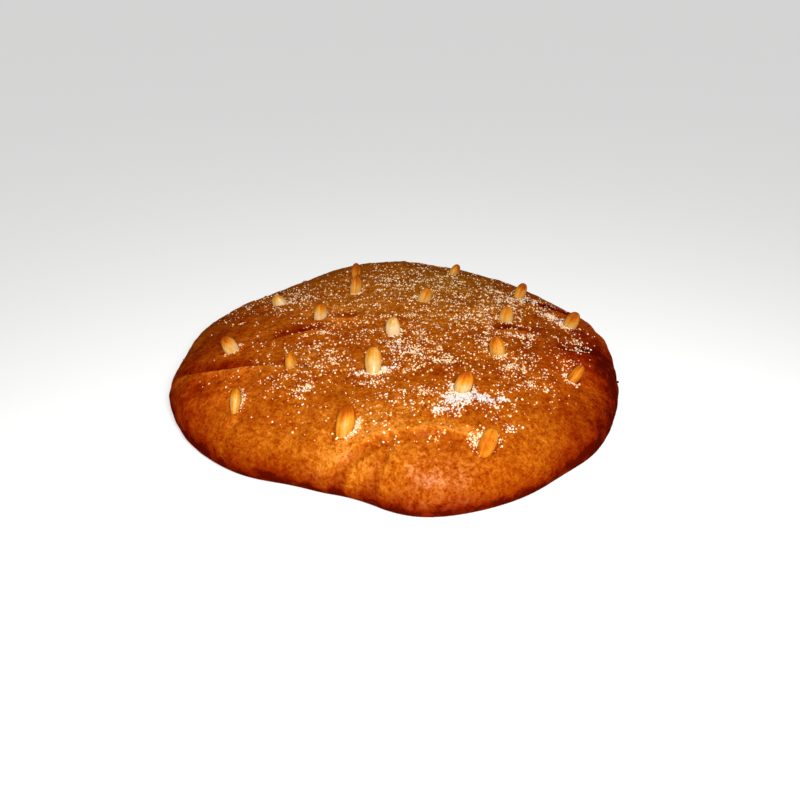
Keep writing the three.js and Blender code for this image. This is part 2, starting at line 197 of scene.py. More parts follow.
def relief(x, y):
    """How high the swells, folds and dimples lift the skin, square to it."""
    rise = ripples(x, y, *RIPPLES_STRAIGHT) + ripples(x + y, x - y, *RIPPLES_SLANTING)
    rise = with_patches(rise, x, y, SWELLS)
    for fold in FOLDS:
        rise = rise + fold_parts(x, y, fold)[0]
    for almond in ALMONDS:
        rise = rise - DIMPLE["depth"] * bell(np.hypot(x - almond[0], y - almond[1]), DIMPLE["spread"])
    return rise


def skin(angle, share):
    """Points of the domed skin, and which way it looks: share is 0 in the middle and 1 where it is widest."""
    radius = edge_radius(angle)
    height = np.clip(1 - share**DOME_POWER, 0, 1) ** (1 / DOME_POWER)
    dome = DOME_HEIGHT - FOOT_HEIGHT
    out = share ** (DOME_POWER - 1) / radius
    up = height ** (DOME_POWER - 1) / dome
    slant = np.hypot(out, up)
    calm = 1 - EDGE_CALM * share**CALM_POWER
    rise = relief(radius * share * np.cos(angle), radius * share * np.sin(angle)) * calm / slant
    reach = radius * share + out * rise
    points = np.stack([reach * np.cos(angle), reach * np.sin(angle), FOOT_HEIGHT + dome * height + up * rise], -1)
    facing = np.stack([out * np.cos(angle), out * np.sin(angle), up], -1) / slant[..., None]
    return points, facing


def tuck(angle, turn):
    """Points of the side below its widest height: turn is 0 there and 1 at the flat underside."""
    radius = edge_radius(angle)
    bend = turn * np.pi / 2
    rise = relief(radius * np.cos(angle), radius * np.sin(angle)) * np.cos(bend) * (1 - EDGE_CALM)
    reach = radius - TUCK * (1 - np.cos(bend)) + rise
    points = np.stack([reach * np.cos(angle), reach * np.sin(angle), FOOT_HEIGHT * (1 - np.sin(bend))], -1)
    facing = np.stack([np.cos(angle) * np.cos(bend), np.sin(angle) * np.cos(bend), -np.sin(bend)], -1)
    return points, facing


CLOSING_IN = 6


def skin_at(x, y):
    """The point of the skin over x and y, closed in on step by step."""
    angle = np.arctan2(y, x)
    share = np.hypot(x, y) / edge_radius(angle)
    for _ in range(CLOSING_IN):
        found = skin(angle, share)[0]
        share = share * np.hypot(x, y) / np.hypot(found[..., 0], found[..., 1])
    return skin(angle, share)[0]


SEED_STEP = (17.3, 5.1, 9.7)


def lumps(points, size, seed):
    """Smooth lumps of about that size in millimetres, from -1 to 1 at each point."""
    start = Vector([seed * step for step in SEED_STEP])
    return np.array([noise.noise(Vector(p) + start) for p in points / np.array(size)])


def almond_place(almond):
    """Where an almond's middle is, and how it is turned."""
    x, y, shown, lean, towards, face, size = almond[:7]
    about_z = lambda degrees: Quaternion((0, 0, 1), math.radians(degrees))
    leant = about_z(towards) @ Quaternion((0, 1, 0), math.radians(lean)) @ about_z(-towards)
    turned = leant @ about_z(face + 90)
    axis = leant @ Vector((0, 0, 1))
    middle = Vector(skin_at(float(x), float(y))) + axis * (shown - KERNEL["length"] * size / 2)
    return middle, turned


def fullness(along):
    """How thick a kernel is at each share of its length, from -1 at its point to 1 at its blunt end."""
    tip, blunt = KERNEL["tip"], KERNEL["blunt"]
    widest = (tip - blunt) / (tip + blunt)
    grown = lambda a: np.clip(1 + a, 0, 2) ** tip * np.clip(1 - a, 0, 2) ** blunt
    return grown(along) / grown(widest)


SHORT_OF_END = 0.98  # the ends have no thickness to measure from


def beside_almond(points, almond):
    """How far points are outside the kernel's side, in millimetres, measured square to its length."""
    middle, turned = almond_place(almond)
    size = almond[6]
    half_length = KERNEL["length"] * size / 2
    local = (points - np.array(middle)) @ np.array(turned.to_matrix())
    along = np.clip(local[:, 2] / half_length, -SHORT_OF_END, SHORT_OF_END)
    half = np.array([KERNEL["width"], KERNEL["thick"]]) * size / 2 * fullness(along)[:, None]
    share = np.hypot(local[:, 0] / half[:, 0], local[:, 1] / half[:, 1])
    beyond = np.maximum(np.abs(local[:, 2]) - half_length, 0)
    return (share - 1) * half.mean(1) + beyond


TOP_RINGS = 140
TUCK_RINGS = 9
PROFILE_STEPS = 2000
# where the skin is divided once more: this near to an almond, this near to a fold's crease, and not at the edge
FINE_BY_ALMOND = 3.5
FINE_BY_CREASE = 0.1
FINE_UP_TO = 0.985

# equal steps along the skin, as shares of the radius
bend = np.linspace(0, np.pi / 2, PROFILE_STEPS)
out_there = EDGE_RADIUS * np.sin(bend) ** (2 / DOME_POWER)
up_there = (DOME_HEIGHT - FOOT_HEIGHT) * np.cos(bend) ** (2 / DOME_POWER)
profile = np.stack([out_there, up_there])
walked = np.concatenate([[0], np.cumsum(np.hypot(*np.diff(profile, axis=1)))])
shares = np.interp(np.linspace(0, walked[-1], TOP_RINGS + 1), walked, profile[0]) / EDGE_RADIUS
shares[-1] = 1.0


def ring_start(r):
    """The number of the first vertex of ring r. Ring 0 is the middle, and each ring r has 6 r vertices."""
    return 0 if r == 0 else 1 + 3 * r * (r - 1)


def ring_vertex(r, sector, step):
    return ring_start(r) + (sector * r + step) % max(6 * r, 1)


flat = [(0.0, 0.0, 0.0)]
for r in range(1, TOP_RINGS + 1):
    turn = np.arange(6 * r) / (6 * r) * 2 * np.pi
    flat += list(zip(shares[r] * np.cos(turn), shares[r] * np.sin(turn), 0 * turn))
corners = []
for r in range(TOP_RINGS):
    for sector in range(6):
        inner = [ring_vertex(r, sector, s) for s in range(r + 1)]
        outer = [ring_vertex(r + 1, sector, s) for s in range(r + 2)]
        corners += [(inner[s], outer[s], outer[s + 1]) for s in range(r + 1)]
        corners += [(inner[s], outer[s + 1], inner[s + 1]) for s in range(r)]

form = bmesh.new()
verts = [form.verts.new(p) for p in flat]
for a, b, c in corners:
    form.faces.new((verts[a], verts[b], verts[c]))
form.verts.ensure_lookup_table()
where = np.array(flat)
angle, share = np.arctan2(where[:, 1], where[:, 0]), np.hypot(where[:, 0], where[:, 1])
plain, _ = skin(angle, share)
near = np.zeros(len(plain), bool)
for almond in ALMONDS:
    near |= beside_almond(plain, almond) < FINE_BY_ALMOND
for fold in FOLDS:
    near |= fold_parts(plain[:, 0], plain[:, 1], fold)[3] > FINE_BY_CREASE
near &= share < FINE_UP_TO
edges = [e for e in form.edges if near[e.verts[0].index] and near[e.verts[1].index]]
bmesh.ops.subdivide_edges(form, edges=edges, cuts=1, use_grid_fill=True)
bmesh.ops.triangulate(form, faces=form.faces[:])
form.verts.index_update()
where = np.array([v.co for v in form.verts])
faces = [tuple(v.index for v in f.verts) for f in form.faces]
form.free()

angle, share = np.arctan2(where[:, 1], where[:, 0]), np.clip(np.hypot(where[:, 0], where[:, 1]), 0, 1)
points, facing = skin(angle, share)

# the side's rings, from the widest one, which is the skin's outermost, down to the flat foot
rim = np.nonzero(share > 1 - 1e-6)[0]
rim = rim[np.argsort(angle[rim] % (2 * np.pi))]
rim_angle = angle[rim]
last = list(rim)
for k in range(1, TUCK_RINGS + 1):
    low_points, low_facing = tuck(rim_angle, np.full_like(rim_angle, k / TUCK_RINGS))
    first = len(points)
    points = np.concatenate([points, low_points])
    facing = np.concatenate([facing, low_facing])
    angle = np.concatenate([angle, rim_angle])
    share = np.concatenate([share, np.ones_like(rim_angle)])
    ring = list(range(first, first + len(rim)))
    for i in range(len(rim)):
        j = (i + 1) % len(rim)
        faces += [(last[i], ring[i], ring[j]), (last[i], ring[j], last[j])]
    last = ring
foot_middle = len(points)
points = np.concatenate([points, [[0.0, 0.0, 0.0]]])
facing = np.concatenate([facing, [[0.0, 0.0, -1.0]]])
angle, share = np.append(angle, 0.0), np.append(share, 0.0)
faces += [(last[i], foot_middle, last[(i + 1) % len(last)]) for i in range(len(last))]

# The finer forms, which stand on the main ones: small lumps, drawn furrows down the side, wrinkles over the
# top, and the lip of dough that rose round each almond.
LUMPS = [(11.0, 0.5), (5.2, 0.3), (2.6, 0.14)]  # size, height
LUMPS_SHARE = (0.55, 0.45)  # of their height in the middle of the top, and what comes to it towards the edge
# furrows down the side: the radius they are laid round, how far they are drawn out in height, and their size
FURROWS = {"round": 130, "stretch": 60, "drawn": 0.25, "width": 7.0, "height": 0.45}
WRINKLES = {"along_x": 15.0, "along_y": 4.6, "height": 0.3, "lost": 0.5}  # lost towards the edge
WANDER = (9, 38)  # how far the wrinkles leave their line, and over what length
CREASE = {"ridge": 1.5, "depth": 1.6}  # sharpens the folds, as far as they are pale and brown
# distances from a kernel's side: the lip of dough round it, the socket where the skin dips to close against it,
# and how near the crust is darkened with painted shade where it meets the kernel
COLLAR = {"off": 1.5, "width": 1.5, "height": 0.75, "even": 0.75, "uneven": 0.6, "lumps": 5.0, "reach": 7}
SOCKET = {"from": -0.2, "to": 0.6, "drop": 1.6}
CONTACT = (0.25, 1.1)
ON_TOP = (0.5, 9.0)  # heights between which the finer forms fade in
OUTWARD = (0.3, 0.8)  # shares of the radius between which the middle goes over into the edge

outward = smooth(share, *OUTWARD)
lift = np.zeros(len(points))
for k, (size, height) in enumerate(LUMPS):
    lift += height * (LUMPS_SHARE[0] + LUMPS_SHARE[1] * outward) * lumps(points, size, seed=k + 1)
wide = FURROWS["round"]
around = np.stack([np.cos(angle) * wide, np.sin(angle) * wide, points[:, 2] * wide / FURROWS["stretch"]], -1)
around = around * np.array([1, 1, FURROWS["drawn"]])
lift += FURROWS["height"] * outward * lumps(around, FURROWS["width"], seed=7)
drift = WANDER[0] * lumps(points, WANDER[1], seed=9)
wrinkled = np.stack([points[:, 0], points[:, 1] + drift, points[:, 2] * 0], -1)
wrinkle = lumps(wrinkled, (WRINKLES["along_x"], WRINKLES["along_y"], 1), seed=11)
lift += WRINKLES["height"] * wrinkle * (1 - WRINKLES["lost"] * outward)
for fold in FOLDS:
    _, _, _, crease, ridge = fold_parts(points[:, 0], points[:, 1], fold)
    hollow_brown_and_shade, lip_pale_and_highlight = fold[7:]
    lift += lip_pale_and_highlight * CREASE["ridge"] * ridge - hollow_brown_and_shade * CREASE["depth"] * crease
lift *= smooth(points[:, 2], *ON_TOP) * (share > 0)
contact = np.zeros(len(points))
for k, almond in enumerate(ALMONDS):
    off = beside_almond(points, almond)
    close = off < COLLAR["reach"]
    off = off[close]
    uneven = COLLAR["even"] + COLLAR["uneven"] * lumps(points[close], COLLAR["lumps"], seed=20 + k)
    lift[close] += COLLAR["height"] * uneven * bell(off - COLLAR["off"], COLLAR["width"])
    sunk = 1 - smooth(off, SOCKET["from"], SOCKET["to"])
    lift[close] = lift[close] * (1 - sunk) - SOCKET["drop"] * sunk
    contact[close] = np.maximum(contact[close], 1 - smooth(off, *CONTACT))
points = points + facing * lift[:, None]
points[:, 2] = np.maximum(points[:, 2], 0)

# how brown the crust is, from 0 for pale gold to 1 for burnt: its baked colour, with painted shade added at
# the foot, on the folds' steep sides and round the almonds, and a painted highlight along the folds' lips
BROWN_ON_TOP = 0.37
# darker towards the foot: browned on the tray, together with painted shade low on the side
FOOT_BROWN_AND_SHADE = [(0.44, 3.0, 24.0), (0.3, 2.0, 12.0)]  # how much more, and the heights between which it fades
BROWN_CLOUDS = [(0.12, 24), (0.1, 9)]  # how much, size
# painted shade on the crust where it meets an almond
SHADE_BY_ALMONDS = 0.15
# how a lip's paleness falls on its stretched skin and on its ridge: pale dough together with a painted highlight
PALE_LIP_AND_HIGHLIGHT = {"stretched": 0.8, "ridge": 0.5}

x, y, z = points.T
brown = BROWN_ON_TOP + 0 * z
# the foot's tray browning and its painted shade
for more, low, high in FOOT_BROWN_AND_SHADE:
    brown += more * (1 - smooth(z, low, high))
brown = with_patches(brown, x, y, BROWNED)
# the folds: steep sides baked browner with painted shade on them, lips paler with a painted highlight along them
for fold in FOLDS:
    _, hollow, stretched, _, ridge = fold_parts(x, y, fold)
    hollow_brown_and_shade, lip_pale_and_highlight = fold[7:]
    brown += hollow_brown_and_shade * hollow - lip_pale_and_highlight * (PALE_LIP_AND_HIGHLIGHT["stretched"] * stretched + PALE_LIP_AND_HIGHLIGHT["ridge"] * ridge)
brown += sum(more * lumps(points, size, seed=31 + k) for k, (more, size) in enumerate(BROWN_CLOUDS))
# painted shade round each almond's foot
brown = np.clip(brown + SHADE_BY_ALMONDS * contact, 0, 1)

# where the crust is redder or less red: x, y, spread, how much
RUDDY = [
    (-105, -60, 30, 0.3), (-98, 10, 24, 0.08), (-80, -22, 20, 0.1), (-45, -12, 18, 0.12), (98, -46, 20, 0.3),
    (128, 10, 24, 0.35), (96, 45, 22, 0.2), (30, 62, 48, -0.18),
]
ruddy = with_patches(np.zeros(len(points)), x, y, RUDDY)

# where the oil came up and the crust shines: x, y, spread, how much
OILED = [(12, -126, 12, 1.0), (26, -124, 10, 0.8), (-13, -119, 4, 0.9), (-26, -113, 5, 0.8), (-38, -113, 5, 0.8)]
OILED_ALL_OVER = 0.12
# the heights between which each of them fades in
SHINE_ALL_OVER, SHINE = (12, 30), (6, 12)
sheen = with_patches(OILED_ALL_OVER * smooth(z, *SHINE_ALL_OVER), x, y, OILED) * smooth(z, *SHINE)


def in_scene(name, data):
    """Puts a mesh, a light or a camera into the scene."""
    made = bpy.data.objects.new(name, data)
    bpy.context.scene.collection.objects.link(made)
    return made


def new_object(name, vertices, polygons):
    """A finished piece: its place is in its mesh, in metres."""
    mesh = bpy.data.meshes.new(name)
    mesh.from_pydata([tuple(v) for v in vertices], [], polygons)
    mesh.validate()
    return in_scene(name, mesh)


def paint(mesh, name, values):
    mesh.attributes.new(name, "FLOAT", "POINT").data.foreach_set("value", values.astype(np.float32))


low, high = (np.array(corner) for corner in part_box("crust"))
shift = ((low + high) / 2)[:2] - (points.min(0) + points.max(0))[:2] / 2 * MM
shift = np.append(shift, 0.0)
crust = new_object("baked_crust", points * MM + shift, faces)
paint(crust.data, "brown", brown)
paint(crust.data, "sheen", np.clip(sheen, 0, 1))
paint(crust.data, "ruddy", ruddy)
crust.data.shade_smooth()


class Wire:
    """One socket of a node tree. Sums and products of wires add their own Math nodes."""

    def __init__(self, tree, socket):
        self.tree, self.socket = tree, socket

    def math(self, operation, first, second=0.0):
        return self.tree.node("ShaderNodeMath", {"operation": operation}, {0: first, 1: second})

    def __add__(self, other):
        return self.math("ADD", self, other)

    def __sub__(self, other):
        return self.math("SUBTRACT", self, other)

    def __rsub__(self, other):
        return self.math("SUBTRACT", other, self)

    def __mul__(self, other):
        return self.math("MULTIPLY", self, other)

    def __truediv__(self, other):
        return self.math("DIVIDE", self, other)

    def __pow__(self, other):
        return self.math("POWER", self, other)

    __radd__, __rmul__ = __add__, __mul__


class Recipe:
    """A node tree in the making, for a finish or for the rule of a mesh."""

    def __init__(self, tree):
        self.tree = tree
        tree.nodes.clear()

    def node(self, kind, settings=None, inputs=None, output=0):
        """Adds a node by its settings and its sockets' values or wires. Returns its output, or several."""
        made = self.tree.nodes.new(kind)
        for name, value in (settings or {}).items():
            if name == "stops":
                ramp = made.color_ramp.elements
                while len(ramp) < len(value):
                    ramp.new(0.5)
                for stop, (position, colour) in zip(ramp, value):
                    stop.position, stop.color = position, (*colour, 1)
            else:
                setattr(made, name, value)
        for name, value in (inputs or {}).items():
            if isinstance(value, Wire):
                self.tree.links.new(value.socket, made.inputs[name])
            else:
                made.inputs[name].default_value = value
        if isinstance(output, tuple):
            return [Wire(self, made.outputs[name]) for name in output]
        return Wire(self, made.outputs[output]) if made.outputs else None

    def mix(self, factor, first, second):
        """Mixes two colours: they are sockets 6 and 7 of this node, and its output 2."""
        kind = {"data_type": "RGBA", "clamp_factor": True}
        return self.node("ShaderNodeMix", kind, {0: factor, 6: first, 7: second}, 2)

    def lumps(self, place, size, detail=2.0, roughness=0.5):
        """Noise from 0 to 1 with lumps of that size in metres."""
        sockets = {"Vector": place, "Scale": 1 / size, "Detail": detail, "Roughness": roughness}
        return self.node("ShaderNodeTexNoise", {}, sockets)

    def between(self, value, low, high):
        """0 below low, 1 above high, smooth between."""
        kind = {"interpolation_type": "SMOOTHSTEP"}
        return self.node("ShaderNodeMapRange", kind, {"Value": value, "From Min": low, "From Max": high})

    def painted(self, name):
        return self.node("ShaderNodeAttribute", {"attribute_name": name}, {}, "Fac")


def new_finish(name):
    material = bpy.data.materials.new(name)
    material.use_nodes = True
    return material, Recipe(material.node_tree)


def seal(recipe, sockets):
    """Ends a finish with its surface shader."""
    surface = recipe.node("ShaderNodeBsdfPrincipled", {}, sockets)
    recipe.node("ShaderNodeOutputMaterial", {}, {"Surface": surface})


CRUST_GRAIN = {"mottle": 0.0075, "freckle": 0.0024, "fine": 0.0011, "pore": 0.0021}  # metres across
CRUST_BUMPS = 0.0011
SUGAR_DUST = (0.86, 0.72, 0.56, 1)
OIL_SHINE = 0.29
# noise values between which each sets in: a pore's side, the mottles that have pores, the dust and the shine
PORE_EDGE, PORES_WHERE, DUSTY, SHINY = (0.1, 0.34), (0.42, 0.56), (0.35, 0.6), (0.68, 0.88)
# how brown, and the colour of the crust there
CRUST_COLOURS = [
    (0.0, (0.6, 0.19, 0.022)),
    (0.12, (0.49, 0.137, 0.009)),
    (0.25, (0.42, 0.1, 0.004)),
    (0.4, (0.345, 0.069, 0.002)),
    (0.62, (0.25, 0.034, 0.0008)),
    (0.74, (0.207, 0.02, 0.0005)),
    (0.88, (0.155, 0.009, 0.0003)),
    (1.0, (0.075, 0.003, 0.0002)),
]

crust_finish, r = new_finish("oiled_golden_crust")
place = r.node("ShaderNodeTexCoord", {}, {}, "Object")
mottle = r.lumps(place, CRUST_GRAIN["mottle"], detail=3, roughness=0.6)
freckle = r.lumps(place, CRUST_GRAIN["freckle"], roughness=0.6)
fine = r.lumps(place, CRUST_GRAIN["fine"], roughness=0.6)
pores_at = {"Vector": place, "Scale": 1 / CRUST_GRAIN["pore"]}
pore = 1 - r.between(r.node("ShaderNodeTexVoronoi", {"feature": "F1"}, pores_at, "Distance"), *PORE_EDGE)
pore = pore * r.between(mottle, *PORES_WHERE)
# the baked brown, with the painted shade and painted highlight it carries
browned = r.painted("brown")
grainy = (freckle - 0.5) * 0.6 + (fine - 0.5) * 0.5
baked = browned + (mottle - 0.5) * (browned * 0.5 + 0.35) + grainy * (2.5 - browned * 2.2) + pore * 0.1
colour = r.node("ShaderNodeValToRGB", {"stops": CRUST_COLOURS}, {"Fac": baked}, "Color")
redder = r.node("ShaderNodeCombineXYZ", {}, {0: r.painted("ruddy") + 1, 1: 1.0, 2: 1.0})
colour = r.node("ShaderNodeVectorMath", {"operation": "MULTIPLY"}, {0: colour, 1: redder}, "Vector")
dust = r.painted("dust") * r.between(freckle * 0.5 + fine * 0.5, *DUSTY)
colour = r.mix(dust, colour, SUGAR_DUST)
bumps = mottle * 0.5 + freckle * 0.4 + fine * 0.25 - pore * 0.22
normal = r.node("ShaderNodeBump", {}, {"Strength": 1.0, "Distance": CRUST_BUMPS, "Height": bumps})
shiny = r.between(1.5 - freckle * 0.7 - mottle * 0.4 - fine * 0.4, *SHINY)
seal(
    r,
    {
        "Base Color": colour,
        "Roughness": 0.4 + freckle * 0.3,
        "Specular IOR Level": 0.0,
        "Coat Weight": r.painted("sheen") * shiny * OIL_SHINE,
        "Coat Roughness": 0.42,
        "Normal": normal,
    },
)
crust.data.materials.append(crust_finish)
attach(crust, "root")
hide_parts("crust")


# ---- The almonds ----
# Whole kernels with their brown skins taken off, pushed into the raw dough so that they stand up in it. The oven
# toasted what stands out: cream low down, orange brown at the top, with fine lines from end to end.

KERNEL_SIDES = 40
KERNEL_RINGS = 34
KERNEL_FULL = 0.985
# what makes a kernel uneven, with depths as shares of its thickness: fine lines from end to end, soft bulges, the
# seam between its two halves, and the sway of its length
LINES = {"across": 2.4, "along": 0.5, "scale": 1.7, "depth": 0.07}
BULGES = {"scale": 1.1, "depth": 0.08}
SEAM = {"sharp": 40.0, "depth": 0.05}
SWAY = {"along": 0.7, "far": 0.16}

kernel_tree = bpy.data.node_groups.new("almond_kernel", "GeometryNodeTree")
kernel_sockets = {
    "Length": ("NodeSocketFloat", KERNEL["length"] * MM),
    "Width": ("NodeSocketFloat", KERNEL["width"] * MM),
    "Thick": ("NodeSocketFloat", KERNEL["thick"] * MM),
    "Tip Taper": ("NodeSocketFloat", KERNEL["tip"]),
    "Blunt Taper": ("NodeSocketFloat", KERNEL["blunt"]),
    "Seed": ("NodeSocketFloat", 0.0),
    "Finish": ("NodeSocketMaterial", None),
}


def open_rule(tree, sockets):
    """Gives a mesh rule its named inputs and its output. Returns the recipe and the inputs' wires."""
    recipe = Recipe(tree)
    for name, (kind, value) in sockets.items():
        socket = tree.interface.new_socket(name=name, in_out="INPUT", socket_type=kind)
        if value is not None:
            socket.default_value = value
    tree.interface.new_socket(name="Geometry", in_out="OUTPUT", socket_type="NodeSocketGeometry")
    wires = recipe.node("NodeGroupInput", {}, {}, tuple(sockets))
    return recipe, dict(zip(sockets, wires))


def make_by_rule(name, tree, base, values):
    """Runs a mesh rule on a base mesh with these input values, and returns the plain mesh it makes."""
    holder = in_scene(name + "_rule", base)
    modifier = holder.modifiers.new("rule", "NODES")
    modifier.node_group = tree
    for item in tree.interface.items_tree:
        if item.item_type == "SOCKET" and item.in_out == "INPUT" and item.name in values:
            modifier[item.identifier] = values[item.name]
    bpy.context.view_layer.update()
    made = holder.evaluated_get(bpy.context.evaluated_depsgraph_get())
    mesh = bpy.data.meshes.new_from_object(made)
    holder.modifiers.remove(modifier)
    bpy.data.objects.remove(holder)
    mesh.name = name
    return mesh


# The ball's sides are drawn in and out, so that it narrows to the point and rounds off at the blunt end.
LEAST_RADIUS = 0.0001  # so that nothing is divided by nought at the two ends
k, given = open_rule(kernel_tree, kernel_sockets)
ball, ball_uv = k.node(
    "GeometryNodeMeshUVSphere", {}, {"Segments": KERNEL_SIDES, "Rings": KERNEL_RINGS}, ("Mesh", "UV Map")
)
position = k.node("GeometryNodeInputPosition")
ball_x, ball_y, along = k.node("ShaderNodeSeparateXYZ", {}, {0: position}, ("X", "Y", "Z"))
ball_radius = along.math("MAXIMUM", (ball_x * ball_x + ball_y * ball_y) ** 0.5, LEAST_RADIUS)
across_x, across_y = ball_x / ball_radius, ball_y / ball_radius
tip, blunt = given["Tip Taper"], given["Blunt Taper"]
low_side = along.math("MAXIMUM", along + 1, 0.0)
high_side = along.math("MAXIMUM", 1 - along, 0.0)
widest = (tip - blunt) / (tip + blunt)
full = (low_side**tip) * (high_side**blunt) / (((widest + 1) ** tip) * ((1 - widest) ** blunt))
lines_x = across_x * LINES["across"] + given["Seed"]
lines_z = along * LINES["along"] + given["Seed"]
lines_at = k.node("ShaderNodeCombineXYZ", {}, {0: lines_x, 1: across_y * LINES["across"], 2: lines_z})
lines_look = {"Vector": lines_at, "Scale": LINES["scale"], "Detail": 3.0, "Roughness": 0.6}
lines = k.node("ShaderNodeTexNoise", {}, lines_look)
bulge_at = k.node("ShaderNodeCombineXYZ", {}, {0: ball_x + given["Seed"], 1: ball_y, 2: along})
bulge = k.node("ShaderNodeTexNoise", {}, {"Vector": bulge_at, "Scale": BULGES["scale"], "Detail": 1.0})
seam = along.math("ABSOLUTE", across_x) ** SEAM["sharp"]
uneven = KERNEL_FULL + (lines - 0.5) * LINES["depth"] + (bulge - 0.5) * BULGES["depth"] - seam * SEAM["depth"]
full = full * uneven
sway_at = along * SWAY["along"] + given["Seed"]
sway = k.node("ShaderNodeTexNoise", {"noise_dimensions": "1D"}, {"W": sway_at, "Scale": 1.0})
new_x = across_x * full * given["Width"] * 0.5 + (sway - 0.5) * given["Width"] * SWAY["far"]
new_y = across_y * full * given["Thick"] * 0.5
new_z = along * given["Length"] * 0.5
moved = k.node("ShaderNodeCombineXYZ", {}, {0: new_x, 1: new_y, 2: new_z})
kernel = k.node("GeometryNodeSetPosition", {}, {"Geometry": ball, "Position": moved})
kernel = k.node(
    "GeometryNodeStoreNamedAttribute",
    {"data_type": "FLOAT2", "domain": "CORNER"},
    {"Geometry": kernel, "Name": "UVMap", "Value": ball_uv},
)
kernel = k.node("GeometryNodeSetShadeSmooth", {}, {"Geometry": kernel})
kernel = k.node("GeometryNodeRealizeInstances", {}, {"Geometry": kernel})
kernel = k.node("GeometryNodeSetMaterial", {}, {"Geometry": kernel, "Material": given["Finish"]})
k.node("NodeGroupOutput", {}, {"Geometry": kernel})

ALMOND_BLOTCH, ALMOND_SPECK = 0.0035, 0.0009  # metres across
ALMOND_GRAIN = (13.0, 0.9, 1.0)  # the fine lines: many round the kernel, hardly one along it
ALMOND_BUMPS = 0.0003
# how far toasted, and the colour of the kernel there
KERNEL_COLOURS = [
    (0.0, (0.71, 0.52, 0.28)),
    (0.25, (0.62, 0.35, 0.1)),
    (0.5, (0.58, 0.235, 0.016)),
    (0.75, (0.5, 0.13, 0.003)),
    (1.0, (0.31, 0.052, 0.0006)),
]

kernel_finish, r = new_finish("toasted_blanched_almond")
place = r.node("ShaderNodeTexCoord", {}, {}, "Object")
grain_at = r.node("ShaderNodeTexCoord", {}, {}, "UV")
grain_at = r.node("ShaderNodeMapping", {}, {"Vector": grain_at, "Scale": ALMOND_GRAIN})
grain = r.node("ShaderNodeTexNoise", {}, {"Vector": grain_at, "Scale": 1.0, "Detail": 4.0, "Roughness": 0.6})
blotch = r.lumps(place, ALMOND_BLOTCH, detail=3, roughness=0.6)
speck = r.lumps(place, ALMOND_SPECK)
toast = r.painted("toast") + (blotch - 0.5) * 0.6 + (grain - 0.5) * 1.3 + (speck - 0.5) * 0.25
colour = r.node("ShaderNodeValToRGB", {"stops": KERNEL_COLOURS}, {"Fac": toast}, "Color")
bumps = grain * 0.8 + blotch * 0.5 + speck * 0.2
normal = r.node("ShaderNodeBump", {}, {"Strength": 0.8, "Distance": ALMOND_BUMPS, "Height": bumps})
seal(
    r,
    {
        "Base Color": colour,
        "Roughness": 0.38 + grain * 0.2,
        "Specular IOR Level": 0.03,
        "Coat Weight": r.between(blotch + grain * 0.4 - toast * 0.5, 0.25, 0.6) * 0.3,
        "Coat Roughness": 0.25,
        "Normal": normal,
    },
)

SEED_APART = 3.7
TOASTED = (0.15, 0.95)  # shares of what shows between which the toasting grows
plain_base = bpy.data.meshes.new("empty")
for number, almond in enumerate(ALMONDS, 1):
    _, _, shown, _, _, _, size, top_toast, foot_toast = almond
    values = {
        "Length": KERNEL["length"] * size * MM,
        "Width": KERNEL["width"] * size * MM,
        "Thick": KERNEL["thick"] * size * MM,
        "Tip Taper": KERNEL["tip"],
        "Blunt Taper": KERNEL["blunt"],
        "Seed": number * SEED_APART,
        "Finish": kernel_finish,
    }
    mesh = make_by_rule(f"kernel_{number:02d}", kernel_tree, plain_base, values)
    middle, turned = almond_place(almond)
    mesh.transform(turned.to_matrix().to_4x4())
    corners_now = np.array([v.co for v in mesh.vertices])
    node_low, node_high = (np.array(corner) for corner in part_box(f"almond_{number:02d}"))
    node_middle = (node_low + node_high) / 2
    mesh.transform(Matrix.Translation(node_middle - (corners_now.min(0) + corners_now.max(0)) / 2))
    # toasted towards the end that shows
    heights = np.array([v.co for v in mesh.vertices]) - node_middle
    upward = (heights @ np.array(turned @ Vector((0, 0, 1)))) / MM
    half = KERNEL["length"] * size / 2
    shown_share = np.clip((upward - (half - shown)) / shown, 0, 1)
    paint(mesh, "toast", foot_toast + (top_toast - foot_toast) * smooth(shown_share, *TOASTED))
    piece = in_scene(f"kernel_{number:02d}", mesh)
    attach(piece, "root")
    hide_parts(f"almond_{number:02d}")


# ---- The sugar ----
# White sugar crystals, scattered by hand before the dough was baked. They lie in the wrinkles of the skin and in
# heaps in front of some almonds, and the heaps are dusted white between the crystals.

# x, y, spread, and the share that is covered in the middle
SUGAR_PATCHES = [
    (20, 12, 62, 0.036), (62, 24, 20, 0.034), (4, 56, 26, 0.02), (-66, 24, 20, 0.018), (53, -34, 12, 0.035),
    (42, -12, 12, 0.03), (0, -34, 8, 0.05), (24, -48, 9, 0.06), (2, -56, 8, 0.06), (60, -54, 8, 0.06),
    (-88, 42, 30, 0.012), (-62, -62, 26, 0.018), (-36, -54, 9, 0.05), (8, -86, 10, 0.05), (-12, -90, 16, 0.02),
    (80, 34, 12, 0.035), (104, -20, 9, 0.04), (92, -44, 6, 0.05), (53, -98, 5, 0.14), (33, -109, 4, 0.07),
    (0, -42, 8, 0.05), (60, -47, 14, 0.02), (28, -46, 14, 0.02), (74, -66, 12, 0.025), (-44, -24, 9, 0.03),
]
